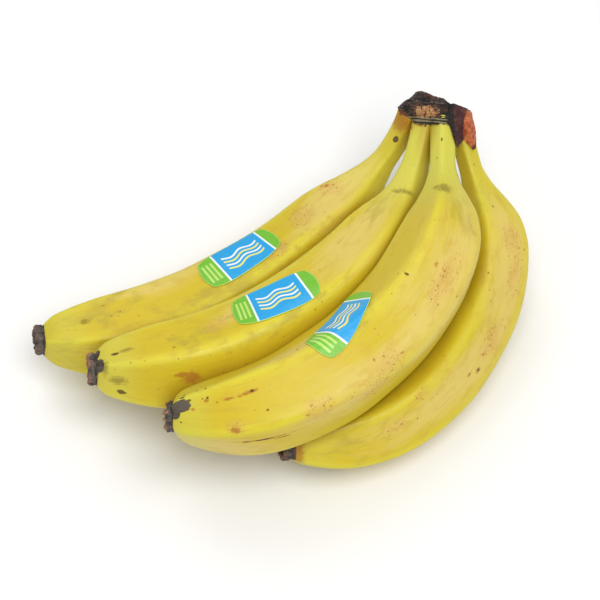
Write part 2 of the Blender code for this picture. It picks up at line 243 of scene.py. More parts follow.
# How steeply the crown falls away between the necks.
OFF_NECK_SLOPE = 1.5
CROWN_SIDES = np.array([ACROSS_SIDE, CROWN_SIDE, FACE_SIDE])
CROWN_ORIGIN = np.array(CROWN_CENTRE) @ CROWN_SIDES
# Share of the crown's rows that lie under it, and how high they start.
CROWN_UNDER = 0.16
UNDER_TOP = 3.0

# Radius and reach of a dried blossom along its surface, in millimetres.
BLOSSOM_RADIUS = ((0.0, 4.6), (0.12, 5.7), (0.28, 6.1), (0.45, 5.9), (0.58, 5.0), (0.68, 3.8),
                  (0.8, 2.6), (0.88, 1.7), (0.95, 1.1), (1.0, 0.0))
BLOSSOM_REACH = ((0.0, -1.4), (0.12, -0.5), (0.28, 0.5), (0.45, 2.0), (0.58, 3.0), (0.68, 2.6),
                 (0.8, 1.3), (0.88, 1.5), (0.95, 2.7), (1.0, 3.2))
# The knobs of each blossom: how many, and how pale they are.
BLOSSOMS = ((5, 0.30), (7, 0.95), (6, 0.90), (6, 0.45))

LABEL_END_ROUND = 0.40
LABEL_SIDE_ROUND = 0.18
# The print, in millimetres from a label's middle: the lines that end its blue field,
# the waves on it, how far they run, and the bars on the green end.
FIELD_ENDS = (-14.5, 10.5)
WAVES = ((-3.6, "white"), (-1.2, "pale"), (1.2, "white"), (3.6, "pale"))
WAVE_BEND, WAVE_HEIGHT = 0.55, 0.9
WAVE_MIDDLE, WAVE_RUN = -2.0, 9.6
BARS = (13.0, 15.2, 17.4)
BAR_REACH = 5.6
# Where each label lies: fruit, share along it, degrees around it, and its tilt.
LABELS = {
    "label_1": ("banana_1", 0.54, 46.0, -3.0),
    "label_2": ("banana_2", 0.60, 42.0, 11.0),
    "label_3": ("banana_3", 0.607, 55.0, -18.0),
}

# The lamps: their names, the way to each from the bunch, and their width.
LAMPS = (("key", (0.15, -0.38, 1.0), 0.75), ("back", (-0.25, 0.60, 1.0), 0.70))


def natural_spline(points, count):
    """Even samples of the smooth curve through the points."""
    points = np.asarray(points, float)
    last = len(points) - 1
    knots = np.append(0.0, np.cumsum(np.linalg.norm(np.diff(points, axis=0), axis=1)))
    steps = np.diff(knots)
    matrix = np.eye(last + 1)
    bends = np.zeros_like(points)
    for k in range(1, last):
        matrix[k, k - 1:k + 2] = steps[k - 1], 2 * (steps[k - 1] + steps[k]), steps[k]
        ahead = (points[k + 1] - points[k]) / steps[k]
        behind = (points[k] - points[k - 1]) / steps[k - 1]
        bends[k] = 6 * (ahead - behind)
    bends = np.linalg.solve(matrix, bends)
    spots = np.linspace(0.0, knots[-1], count)
    k = np.clip(np.searchsorted(knots, spots, side="right") - 1, 0, last - 1)
    after = (knots[k + 1] - spots)[:, None]
    before = (spots - knots[k])[:, None]
    step = steps[k][:, None]
    return (bends[k] * after ** 3 / (6 * step) + bends[k + 1] * before ** 3 / (6 * step)
            + (points[k] / step - bends[k] * step / 6) * after
            + (points[k + 1] / step - bends[k + 1] * step / 6) * before)


def smooth_values(stations, spots):
    """Values between stations on a curve that doesn't overshoot them."""
    at, value = np.array(stations, float).T
    slope = np.diff(value) / np.diff(at)
    same_way = slope[:-1] * slope[1:] > 0
    middle = np.where(same_way, 2 * slope[:-1] * slope[1:] / (slope[:-1] + slope[1:] + 1e-12), 0.0)
    lean = np.concatenate(([slope[0]], middle, [slope[-1]]))
    spots = np.asarray(spots, float)
    k = np.clip(np.searchsorted(at, spots, side="right") - 1, 0, len(at) - 2)
    width = at[k + 1] - at[k]
    t = np.clip((spots - at[k]) / width, 0.0, 1.0)
    return (value[k] * (1 + 2 * t) * (1 - t) ** 2 + value[k + 1] * t * t * (3 - 2 * t)
            + width * (lean[k] * t * (1 - t) ** 2 - lean[k + 1] * t * t * (1 - t)))


def smooth_step(low, high, values):
    t = np.clip((values - low) / (high - low), 0.0, 1.0)
    return t * t * (3 - 2 * t)


def soft_polygon(around, crispness):
    """Radius share of a rounded five-sided section, with a ridge at angle 0."""
    turn = np.asarray(around)[..., None] - np.radians(FACETS)
    crispness = np.asarray(crispness)
    reach = np.clip(np.cos(turn), 0.0, None) ** crispness[..., None]
    return reach.sum(axis=-1) ** (-1.0 / crispness)


def unevenness(along, around, seed):
    """The slow swells of a grown thing, from -1 to 1, which close round the fruit."""
    chance = np.random.default_rng(seed)
    total = np.zeros_like(along)
    weight = 0.0
    for turns in (0, 1, 1, 2, 2, 3, 4, 5):
        height = 1 / (1 + turns)
        runs = chance.uniform(1.5, 7.0)
        total += height * np.cos(turns * around + 2 * pi * runs * along + chance.uniform(0, 2 * pi))
        weight += height
    return total / weight


class Fruit:
    """One banana: its route, its radius along it and its ridges around it."""

    def __init__(self, radius, route, ridge, tail, neck=0.0):
        self.radius = radius
        self.neck = neck
        self.ridge = ridge
        spots = natural_spline(np.array(route) * MM + CENTRE_SHIFT, ROUTE_SAMPLES)
        run = np.append(0.0, np.cumsum(np.linalg.norm(np.diff(spots, axis=0), axis=1)))
        self.length = run[-1]
        self.end = 1 + tail / self.length
        self.shares = run / run[-1]
        self.spots = spots
        self.way = np.gradient(spots, run, axis=0)
        self.widths = self.radius_at(self.shares)

    def radius_at(self, along):
        past = np.clip(along - 1, 0.0, None) * TAIL_SHARE / (self.end - 1)
        thick_neck = self.neck * np.exp(-((along - NECK_AT) / NECK_HALF) ** 2)
        return self.radius * (smooth_values(SWELL, np.clip(along, 0.0, 1.0) + past) + thick_neck)

    def ridge_at(self, along):
        return np.radians(smooth_values(self.ridge, along))

    def frame_at(self, along):
        """Middle, direction, face side and hollow side at shares of the route."""
        centre = np.stack([np.interp(along, self.shares, c) for c in self.spots.T], -1)
        way = np.stack([np.interp(along, self.shares, c) for c in self.way.T], -1)
        way /= np.linalg.norm(way, axis=-1, keepdims=True)
        centre += way * (np.clip(along - 1, 0.0, None) * self.length)[..., None]
        face = FACE_SIDE - (way @ FACE_SIDE)[..., None] * way
        face /= np.linalg.norm(face, axis=-1, keepdims=True)
        return centre, way, face, np.cross(way, face)

    def section(self, along, around):
        """Reach from the middle to the skin, and how near a ridge each point is."""
        crispness = smooth_values(CRISPNESS, along)
        turn = around - self.ridge_at(along)
        share = soft_polygon(turn, crispness)
        low = soft_polygon(np.full_like(turn, radians(FACETS[0])), crispness)
        high = soft_polygon(np.zeros_like(turn), crispness)
        even = 0.6 * low + 0.4 * high
        return self.radius_at(along) * share / even, (share - low) / (high - low)

    def surface(self, along, around, lift=0.0, neighbours=(), swell=0.0):
        """Points on the skin, pressed in where a neighbour would be crossed."""
        centre, _, face, hollow = self.frame_at(along)
        width = self.radius_at(along)
        outward = face * np.cos(around)[..., None] + hollow * np.sin(around)[..., None]
        reach = self.section(along, around)[0] * (1 + swell)
        reach += width * NECK_FLARE * np.exp(-np.clip(along, 0.0, 1.0) / NECK_FLARE_REACH)
        reach += lift
        for other in neighbours:
            reach = self.press(centre, outward, reach, width, other)
        return centre + outward * reach[..., None]

    def distance(self, points):
        """How far points are from the skin."""
        square = (points ** 2).sum(-1)[:, None] + (self.spots ** 2).sum(-1)
        square -= 2 * points @ self.spots.T
        return (np.sqrt(np.maximum(square, 0.0)) - self.widths).min(axis=1)

    def press(self, centre, outward, reach, width, other):
        """Reach that stays on this fruit's side of the surface between the two."""
        def overlap(at, trial):
            apart = other.distance(centre[at] + outward[at] * trial[..., None])
            return (trial - width[at]) + TOUCH_GAP - apart

        crossing = np.flatnonzero(overlap(slice(None), reach) > 0)
        if not len(crossing):
            return reach
        low = reach[crossing] * PRESS_FLOOR
        high = reach[crossing].copy()
        for _ in range(PRESS_STEPS):
            middle = (low + high) / 2
            inside = overlap(crossing, middle) > 0
            high = np.where(inside, middle, high)
            low = np.where(inside, low, middle)
        reach = reach.copy()
        reach[crossing] = low
        return reach


GROVE = {name: Fruit(**facts) for name, facts in FRUITS.items()}


def rolled_grid(sides, rings, place):
    """A closed tube: a flat grid rolled up by place(row share, angle), which gives
    each vertex its point and the values that its attributes hold."""
    shape = bmesh.new()
    bmesh.ops.create_grid(shape, x_segments=sides, y_segments=rings, size=1.0)
    spots = np.array([vert.co for vert in shape.verts])
    settle(shape, *place((spots[:, 1] + 1) / 2, spots[:, 0] * pi))
    bmesh.ops.remove_doubles(shape, verts=shape.verts, dist=0.001 * MM)
    rims = [edge for edge in shape.edges if edge.is_boundary]
    if rims:
        bmesh.ops.holes_fill(shape, edges=rims, sides=0)
    bmesh.ops.recalc_face_normals(shape, faces=shape.faces)
    return shape


def settle(shape, points, facts):
    """Moves every vertex to its point and writes its attributes."""
    for vert, point in zip(shape.verts, points):
        vert.co = point
    for name, values in facts.items():
        layer = shape.verts.layers.float_vector.new(name)
        for vert, value in zip(shape.verts, np.stack(values, -1)):
            vert[layer] = value


def add_piece(name, shape, material, node):
    """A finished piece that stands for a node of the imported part."""
    mesh = bpy.data.meshes.new(name)
    shape.to_mesh(mesh)
    shape.free()
    mesh.materials.append(material)
    mesh.shade_smooth()
    piece = bpy.data.objects.new(name, mesh)
    bpy.context.scene.collection.objects.link(piece)
    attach(piece, "root")
    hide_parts(node)
    return piece


def colour(red, green, blue):
    """A screen colour, 0 to 255, as the light it stands for."""
    shares = np.array([red, green, blue]) / 255
    return tuple(np.where(shares <= 0.04045, shares / 12.92, ((shares + 0.055) / 1.055) ** 2.4))


class Value:
    """A number in a material. Its operators add Math nodes."""

    def __init__(self, paint, socket):
        self.paint = paint
        self.socket = socket

    def _math(self, operation, *terms):
        settings = {"operation": operation}
        return self.paint.node("ShaderNodeMath", settings, dict(enumerate(terms)))

    def __add__(self, other):
        return self._math("ADD", self, other)

    def __sub__(self, other):
        return self._math("SUBTRACT", self, other)

    def __rsub__(self, other):
        return self._math("SUBTRACT", other, self)

    def __mul__(self, other):
        return self._math("MULTIPLY", self, other)

    def __truediv__(self, other):
        return self._math("DIVIDE", self, other)

    def __pow__(self, other):
        return self._math("POWER", self, other)

    __radd__ = __add__
    __rmul__ = __mul__

    def size(self):
        return self._math("ABSOLUTE", self)

    def least(self, other):
        return self._math("MINIMUM", self, other)

    def wave(self):
        return self._math("SINE", self)

    def step(self, low, high):
        """0 below low, 1 above high and smooth between them. It falls if low is above high."""
        span = {"Value": self, "From Min": min(low, high), "From Max": max(low, high)}
        span["To Min"] = 0.0 if low < high else 1.0
        span["To Max"] = 1.0 - span["To Min"]
        return self.paint.node("ShaderNodeMapRange", {"interpolation_type": "SMOOTHSTEP"}, span)


class Paint:
    """The nodes of one material."""

    def __init__(self, name):
        self.material = bpy.data.materials.new(name)
        self.material.use_nodes = True
        self.tree = self.material.node_tree
        self.shader = self.tree.nodes["Principled BSDF"]
        self.place = self.node("ShaderNodeTexCoord", output="Object")

    def feed(self, socket, value):
        if isinstance(value, Value):
            self.tree.links.new(value.socket, socket)
        elif isinstance(value, (int, float)):
            socket.default_value = value
        else:
            size = len(socket.default_value)
            socket.default_value = (tuple(value) + (1.0,))[:size]

    def node(self, kind, settings=None, inputs=None, output=0):
        """Any node, by its type, its settings and what its sockets hold."""
        made = self.tree.nodes.new(kind)
        for name, value in (settings or {}).items():
            setattr(made, name, value)
        for name, value in (inputs or {}).items():
            self.feed(made.inputs[name], value)
        return Value(self, made.outputs[output])

    def mix(self, share, first, second):
        """The second colour over the first, by share."""
        inputs = {0: share, 6: first, 7: second}
        return self.node("ShaderNodeMix", {"data_type": "RGBA"}, inputs, output=2)

    def over(self, base, *layers):
        """Layers over a base colour, each a share and a colour."""
        for share, layer in layers:
            base = self.mix(share, base, layer)
        return base

    def stretch(self, where, scale, shift=(0.0, 0.0, 0.0)):
        settings = {"operation": "MULTIPLY_ADD"}
        return self.node("ShaderNodeVectorMath", settings, {0: where, 1: scale, 2: shift})

    def parts(self, where):
        split = self.tree.nodes.new("ShaderNodeSeparateXYZ")
        self.feed(split.inputs[0], where)
        return [Value(self, socket) for socket in split.outputs]

    def attribute(self, name, output="Vector"):
        return self.node("ShaderNodeAttribute", {"attribute_name": name}, output=output)

    def noise(self, where, scale, detail=3.0, roughness=0.55):
        inputs = {"Vector": where, "Scale": scale, "Detail": detail, "Roughness": roughness}
        return self.node("ShaderNodeTexNoise", inputs=inputs, output="Fac")

    def dots(self, where):
        """How far the nearest of scattered points is, and a number of that point's own."""
        inputs = {"Vector": where, "Scale": 1.0}
        far = self.node("ShaderNodeTexVoronoi", inputs=inputs, output="Distance")
        return far, self.parts(Value(self, far.socket.node.outputs["Color"]))[0]

    def finish(self, base, roughness, height=None, depth=0.0003, **constants):
        self.feed(self.shader.inputs["Base Color"], base)
        self.feed(self.shader.inputs["Roughness"], roughness)
        for name, value in constants.items():
            self.feed(self.shader.inputs[name.replace("_", " ")], value)
        if height is not None:
            inputs = {"Height": height, "Distance": depth}
            bump = self.node("ShaderNodeBump", inputs=inputs, output="Normal")
            self.feed(self.shader.inputs["Normal"], bump)
        return self.material


def mark_fields(name, fruit, along, around):
    """How deep each point lies in the marks of each kind: above 0.5 is inside one."""
    fields = {kind: np.zeros(len(along)) for kind in MARK_KINDS}
    for kind, marks in MARKS[name].items():
        for at, degrees, length, width in marks:
            turn = (around - radians(degrees) + pi) % (2 * pi) - pi
            run = (along - at) * fruit.length / (length * MM / 2)
            side = turn * fruit.radius_at(np.array([at])) / (width * MM / 2)
            depth = 1 - np.sqrt(run ** 2 + side ** 2) / 2
            fields[kind] = np.maximum(fields[kind], depth)
    return fields


def skin_material(name, look, seed):
    """Waxy yellow skin: mottled, streaked and freckled, greener towards its ends, with painted
    sheen, a painted highlight along the ridges and painted shade between the fruits.
    """
    paint = Paint(name + "_skin")
    lie = paint.attribute("unrolled")
    green, ridge, dark_end = paint.parts(paint.attribute("tone"))
    fleck, rust, bruise = paint.parts(paint.attribute("marks"))
    tan, scar, scratch = paint.parts(paint.attribute("faint_marks"))
    cream_and_sheen, olive, gap_shade = paint.parts(paint.attribute("zones"))
    shift = (seed * 3.7, seed * 1.1, seed * 2.3)
    broad = paint.noise(paint.stretch(lie, (18.0, 60.0, 60.0), shift), 1.0, 3.0)
    mottle = paint.noise(paint.stretch(lie, (120.0, 230.0, 230.0), shift), 1.0, 4.0, 0.6)
    streaks = paint.noise(paint.stretch(lie, (34.0, 430.0, 430.0), shift), 1.0, 4.0, 0.6)
    threads = paint.noise(paint.stretch(lie, (80.0, 1500.0, 1500.0), shift), 1.0, 2.0)
    fine = paint.noise(paint.stretch(lie, (900.0, 1100.0, 1100.0), shift), 1.0, 3.0, 0.6)
    ragged = paint.noise(paint.stretch(lie, (500.0, 700.0, 700.0), shift), 1.0, 3.0, 0.6)

    # Paler cream patches: partly paler skin, partly painted sheen on the lit faces.
    creamy_and_sheen = (cream_and_sheen + (broad - 0.5) * 1.0 + (streaks - 0.5) * 0.6).step(0.30, 0.85)
    base = paint.over(
        look.yellow,
        (creamy_and_sheen * 0.9, look.cream_and_sheen),
        # Painted highlight: lighter yellow along the ridge crests.
        (ridge * (1.0 - creamy_and_sheen * 0.7) * 0.8, look.yellow_and_ridge_highlight),
        (mottle.step(0.48, 0.70) * 0.40, look.ochre),
        ((olive + (mottle - 0.5) * 2.0).step(0.45, 1.1) * 0.42, look.olive),
        ((green * (0.6 + streaks * 0.8)).least(1.0), look.green),
        (streaks.step(0.52, 0.75) * 0.30, look.ochre),
        (threads.step(0.56, 0.75) * 0.22, look.olive),
        (threads.step(0.44, 0.26) * 0.18, look.yellow_and_ridge_highlight),
        # Painted shade: darker, deeper yellow where a neighbouring fruit is near.
        (gap_shade * 0.70, look.gap_shade_tint),
        (fine.step(0.56, 0.8) * 0.18, look.tan))

    near, chance = paint.dots(paint.stretch(lie, (1000.0, 1300.0, 1300.0), shift))
    speckles = near.step(0.44, 0.22) * (chance + (mottle - 0.5) * 1.5).step(0.45, 0.60)
    big, pick = paint.dots(paint.stretch(lie, (480.0, 600.0, 600.0), shift))
    big = (big + (ragged - 0.5) * 0.3).step(0.34, 0.20) * pick.step(0.70, 0.76)
    speckles = (speckles * 0.8 + big) * tan.step(0.50, 0.72)
    lone, luck = paint.dots(paint.stretch(lie, (230.0, 260.0, 260.0), shift))
    lone = (lone + (ragged - 0.5) * 0.15).step(0.13, 0.06) * luck.step(0.66, 0.70)

    wander = (ragged - 0.5) * 0.9
    rust_mask = (rust + wander).step(0.38, 0.78)
    bruise_mask = (bruise + wander).step(0.36, 0.90)
    fleck_mask = (fleck + wander * 0.5).step(0.42, 0.64)
    scar_edge = (scar + wander * 0.3).step(0.42, 0.6)
    scar_heart = scar.step(0.74, 0.9)
    scratch_mask = (scratch + wander * 0.5).step(0.40, 0.6)
    end_mask = (dark_end + (ragged - 0.5) * 0.7 + (streaks - 0.5) * 0.5).step(0.42, 0.62)
    dry = paint.mix(mottle.step(0.35, 0.6), look.dried, look.dried_grey)
    base = paint.over(
        base,
        ((tan + (mottle - 0.5) * 0.8).step(0.45, 1.0) * 0.45, look.tan),
        (speckles.least(1.0) * 0.62, look.speckle),
        (lone * 0.6, look.rust),
        (rust_mask * 0.70, look.rust),
        (bruise_mask * 0.60, look.bruise),
        (fleck_mask * 0.85, look.fleck),
        (scar_edge * 0.9, look.fleck),
        (scar_heart * 0.6, SCAR_HEART),
        (scratch_mask * 0.55, SCRATCH),
        (end_mask * 0.95, dry))

    dull = (rust_mask + bruise_mask + fleck_mask + scar_edge + end_mask).least(1.0)
    roughness = look.roughness + fine * 0.12 + (streaks - 0.5) * 0.14 + dull * 0.22
    height = streaks * 0.50 + fine * 0.20 + mottle * 0.55 - fleck_mask * 0.35 - scar_edge * 0.5
    height = height + end_mask * ragged * 0.9 - speckles * 0.1
    return paint.finish(base, roughness, height, look.relief, Specular_IOR_Level=0.3)


def grow_fruit(name, look):
    """One fruit's skin, from its neck in the crown to its dried end."""
    fruit = GROVE[name]
    others = [other for other in GROVE.values() if other is not fruit]
    neck_green, tip_green, seed = HABITS[name]

    def place(row, around):
        along = smooth_values(RING_SPACING, row) * fruit.end
        around = around + fruit.ridge_at(along)
        swell = look.unevenness * unevenness(along, around, seed)
        points = fruit.surface(along, around, 0.0, others, swell)
        points[:, 2] = np.maximum(points[:, 2], 0.0)
        ridge = np.clip(fruit.section(along, around)[1], 0.0, 1.0) ** 3
        green = neck_green * (1 - smooth_step(*NECK_GREEN, along))
        green += tip_green * smooth_step(*TIP_GREEN, along)
        fields = mark_fields(name, fruit, along, around)
        dark_end = smooth_step(fruit.end - DARK_END, fruit.end, along)
        dark_end += smooth_step(*DRIED_EDGE, fields["dried"])
        apart = [other.distance(points) for other in others]
        # Painted shade between the fruits, strongest where a neighbour is nearest.
        gap_shade = 1 - smooth_step(GAP_SHADE_NEAR, look.gap_shade_reach, np.min(apart, axis=0))
        # The ochre marks add painted shadow to the painted shade.
        gap_shade = np.maximum(gap_shade, smooth_step(*OCHRE_SHADOW_EDGE, fields["ochre"]) * OCHRE_SHADOW_SHARE)
        across = fruit.radius * np.cos(around), fruit.radius * np.sin(around)
        return points, {
            "unrolled": (along * fruit.length, *across),
            "tone": (green, ridge, dark_end),
            "marks": (fields["fleck"], fields["rust"], fields["bruise"]),
            "faint_marks": (fields["tan"], fields["scar"], fields["scratch"]),
            "zones": (fields["cream_and_sheen"], fields["olive"], gap_shade),
        }

    shape = rolled_grid(look.sides, look.rings, place)
    add_piece(name.replace("banana", "skin"), shape, skin_material(name, look, seed), name)


def neck_outline(across, height):
    """Where the skins of the necks lie in front and behind, at points across the
    crown and heights up it, in millimetres, and how far they reach to either side."""
    front, back = [], []
    left = np.full_like(across, 99.0)
    right = np.full_like(across, -99.0)
    for fruit in GROVE.values():
        top = fruit.shares < 0.2
        spots = (fruit.spots[top] - CENTRE_SHIFT) / MM - CROWN_ORIGIN
        up = (spots @ CROWN_SIDE)[::-1]
        middle = np.interp(height, up, (spots @ ACROSS_SIDE)[::-1])
        toward = np.interp(height, up, (spots @ FACE_SIDE)[::-1])
        radius = np.interp(height, up, fruit.widths[top][::-1]) / MM + NECK_MARGIN
        off = np.abs(across - middle)
        half = np.sqrt(np.maximum(radius ** 2 - off ** 2, 0.0))
        half -= OFF_NECK_SLOPE * np.maximum(off - radius, 0.0)
        front.append(toward + half)
        back.append(toward - half)
        left = np.minimum(left, middle - radius)
        right = np.maximum(right, middle + radius)
    return np.max(front, axis=0), np.min(back, axis=0), left, right


def rough(points, scale, seed):
    """Cloudy noise from -1 to 1 at points, for each a feature every 1 / scale."""
    shift = Vector((seed * 7.3, seed * 3.1, seed * 5.7))
    return np.array([noise.noise(Vector(p) + shift) for p in np.asarray(points) * scale])


def crown_surface(row, around, look):
    """Points on the crown, in millimetres across, up and towards the face."""
    across, toward = np.cos(around), np.sin(around)
    corner = np.abs(across) ** CROWN_SQUARENESS + np.abs(toward) ** CROWN_SQUARENESS
    corner = corner ** (-1 / CROWN_SQUARENESS)
    folds = 1 + 0.035 * np.sin(5 * around + 0.6) + 0.025 * np.sin(9 * around + 2 * row)
    level = np.clip((row - CROWN_UNDER) / (1 - CROWN_UNDER), 0.0, 1.0)

    def outline(at):
        last = (across + 1) / 2
        draw_in = (1 - last) * smooth_values(DRAW_IN_FIRST, at)
        draw_in += last * smooth_values(DRAW_IN_LAST, at)
        reach = corner * draw_in
        return across * reach * CROWN_HALF_WIDTH, toward * reach * CROWN_HALF_DEPTH

    x, z = outline(level)
    x, z = x * folds, z * folds
    low_x = outline(np.zeros_like(level))[0]
    rim_x = outline(np.full_like(level, CROWN_RIM))[0] / CROWN_HALF_WIDTH
    in_front = smooth_step(-0.2, 0.2, toward)
    lower = smooth_values(FRONT_EDGE, low_x) * in_front
    lower += smooth_values(BACK_EDGE, low_x) * (1 - in_front)
    lower = lower + look.ragged / MM * rough(np.stack([low_x, toward * 9, across * 9], -1), 0.9, 3)
    upper = smooth_values(CROWN_TOP, np.where(level < CROWN_RIM, rim_x, x / CROWN_HALF_WIDTH))
    y = lower + (upper - lower) * np.clip(level / CROWN_RIM, 0.0, 1.0)

    _, _, left, right = neck_outline(low_x, lower)
    share = (low_x / CROWN_HALF_WIDTH + 1) / 2
    hug_x = left + (right - left) * share
    hug_z = neck_outline(hug_x, lower)
    hug_z = hug_z[0] * in_front + hug_z[1] * (1 - in_front)
    free = smooth_step(0.0, 0.42, level)
    x = hug_x * (1 - free) + x * free
    z = hug_z * (1 - free) + z * free

    under = np.clip(row / CROWN_UNDER, 0.0, 1.0)
    y = np.where(row < CROWN_UNDER, UNDER_TOP + (lower - UNDER_TOP) * under ** 4, y)
    x = x * under ** 0.6
    z = z * under ** 0.6
    return x, y, z, level, in_front


def crown_relief(x, y, z, level, in_front, look):
    """How far the bark stands out: a rolled lip, a groove, folds and fibres."""
    points = np.stack([x, y, z], -1)
    lip = in_front * smooth_step(-17.0, -14.0, x) * smooth_step(8.0, 6.0, x)
    relief = lip * 0.9 * np.exp(-((y - 1.0) / 0.8) ** 2)
    relief -= lip * 0.8 * np.exp(-((y - 3.4) / 1.0) ** 2)
    relief -= in_front * 0.8 * np.exp(-((x - 7.2) / 0.9) ** 2)
    bark = 1 - 0.6 * smooth_step(8.0, 11.0, x)
    relief += bark * 0.75 * rough(points, 0.22, 1)
    relief += bark * 0.45 * rough(points * (0.4, 1.6, 0.4), 0.8, 2)
    strand = 0.6 - 2 * np.abs(rough(np.stack([x * 0.30, y * 2.0 + x * 0.4, z * 0.35], -1), 1.1, 4))
    relief += bark * look.fibres / MM * strand
    return relief * smooth_step(0.0, 0.10, level)


def crown_material(look):
    """Dried stalk: black-brown and fibrous, with a grey-green lip and a red flap."""
    paint = Paint("crown_bark")
    spot = paint.attribute("crown_place")
    x, y, z = paint.parts(spot)
    front = z.step(-4.0, 2.0)
    cloud = paint.noise(spot, 0.42, 5.0, 0.65)
    grain = paint.noise(paint.stretch(spot, (0.8, 2.2, 1.2)), 1.0, 5.0, 0.7)
    strands = paint.noise(paint.stretch(spot, (0.16, 1.9, 0.4), (4.0, 2.0, 7.0)), 1.0, 4.0, 0.6)
    ragged = paint.noise(spot, 1.4, 4.0, 0.65)
    pits = paint.noise(spot, 3.2, 3.0, 0.6)

    # Where the painted highlight specks show on the front.
    pale = front * (x + (cloud - 0.5) * 10.0).step(7.0, 2.0)

    wander = (ragged - 0.5) * 5.0
    lip_line = y + (x + 7.0) * 0.13
    lip = lip_line + wander * 0.25
    lip = front * lip.step(0.2, 1.0) * lip.step(4.0, 3.2)
    lip = lip * x.step(-17.0, -14.0) * x.step(7.0, 5.5)
    strips = (lip_line * 4.6 + (strands - 0.5) * 5.0).wave()
    lip_paint = paint.mix(strips.step(-0.3, 0.5), look.bark, look.lip)

    cracks = paint.noise(paint.stretch(spot, (1.0, 0.3, 0.6), (3.0, 1.0, 5.0)), 1.0, 4.0, 0.6)
    flesh = ((x + 3.6) / 5.4) ** 2 + ((y - 5.4) / 2.7) ** 2
    flesh = (flesh + (ragged - 0.5) * 3.4).step(1.2, 0.6) * front
    flesh_paint = paint.mix(cracks.step(0.38, 0.50), look.brown, look.flesh)

    rot = ((x + 15.5) / 4.0) ** 2 + ((y - 3.0) / 3.4) ** 2
    rot = (rot + (ragged - 0.5) * 2.0).step(1.3, 0.4)
    rot_paint = paint.mix(pits.step(0.4, 0.6), look.brown, look.rot)

    flap = (x + wander * 0.5).step(8.0, 10.0)
    flap_paint = paint.mix(cloud.step(0.45, 0.62), look.maroon, look.brown)
    red = ((x - 16.2) / 3.6) ** 2 + ((y + 1.5) / 8.6) ** 2
    red = (red + (ragged - 0.5) * 1.2).step(1.15, 0.75) * z.step(-6.0, 1.0)
    red_paint = paint.mix(cloud.step(0.40, 0.60), look.red, look.orange)
    red_paint = paint.mix(pits.step(0.40, 0.32) * 0.85, red_paint, look.maroon)
    streak = front * ((x - 6.9 + wander * 0.25) / 1.7).size().step(1.1, 0.7)

    base = paint.over(
        look.bark,
        (cloud.step(0.50, 0.60), look.brown),
        (strands.step(0.55, 0.62) * 0.55, look.fibre),
        (grain.step(0.43, 0.36) * 0.8, look.bark),
        # Painted highlights: pale specks on the grain, and below, along the cracks of the flesh.
        (pale * grain.step(0.60, 0.66) * 0.75, look.strand),
        (lip * 0.9, lip_paint),
        (flesh * 0.92, flesh_paint),
        (flesh * cracks.step(0.56, 0.64) * 0.8, look.strand),
        (rot * 0.8, rot_paint),
        (flap * 0.9, flap_paint),
        (red * 0.95, red_paint),
        (streak * 0.92, look.bark),
        (streak * strands.step(0.60, 0.68) * 0.5, look.fibre))

    height = grain * 0.9 + strands * 0.7 + ragged * 0.4 + pits * 0.3
    return paint.finish(base, 0.50 + pits * 0.25 - red * 0.10, height, look.relief)


def grow_crown(look):
    """The dried, cut stalk that holds the four necks."""
    def place(row, around):
        x, y, z, level, in_front = crown_surface(row, around, look)
        relief = crown_relief(x, y, z, level, in_front, look)
        on_top = smooth_step(0.68, 0.80, level)
        size = np.maximum(np.hypot(x, z * 1.6), 1e-6)
        out_x, out_z = x / size, z * 1.6 / size
        y_out = y + relief * on_top
        x_out = x + out_x * relief * (1 - on_top)
        z_out = z + out_z * relief * (1 - on_top)
        front, back, _, _ = neck_outline(x_out, y_out)
        cover = (level > 0) & (y_out < NECK_TOP)
        z_out = np.where(cover & (in_front > 0.5), np.maximum(z_out, front), z_out)
        z_out = np.where(cover & (in_front < 0.5), np.minimum(z_out, back), z_out)
        points = np.stack([x_out, y_out, z_out], -1) @ CROWN_SIDES
        points = (points + CROWN_ORIGIN) * MM + CENTRE_SHIFT
        return points, {"crown_place": (x_out, y_out, z_out)}

    shape = rolled_grid(look.sides, look.rings, place)
    add_piece("crown_bark", shape, crown_material(look), "crown")


def blossom_material(name, look, paleness):
    """Dry, near-black scales with paler knobs and painted highlights on the grain."""
    paint = Paint(name + "_husk")
    knob, rim, _ = paint.parts(paint.attribute("knobs"))
    grain = paint.noise(paint.place, 900.0, 4.0, 0.65)
    cloud = paint.noise(paint.place, 260.0, 3.0)
    pale = (knob * 0.7 + rim * 0.5 + (grain - 0.5) * 1.6).step(0.25, 0.80)
    base = paint.over(
        look.husk,
        (cloud.step(0.35, 0.65), look.grey),
        (pale * paleness, look.tan),
        # Painted highlight flecks on the grain.
        (grain.step(0.58, 0.70) * 0.45, look.highlight),
        (grain.step(0.42, 0.30) * 0.75, look.husk))
    return paint.finish(base, 0.55 + grain * 0.2, grain + cloud * 0.6, look.relief)


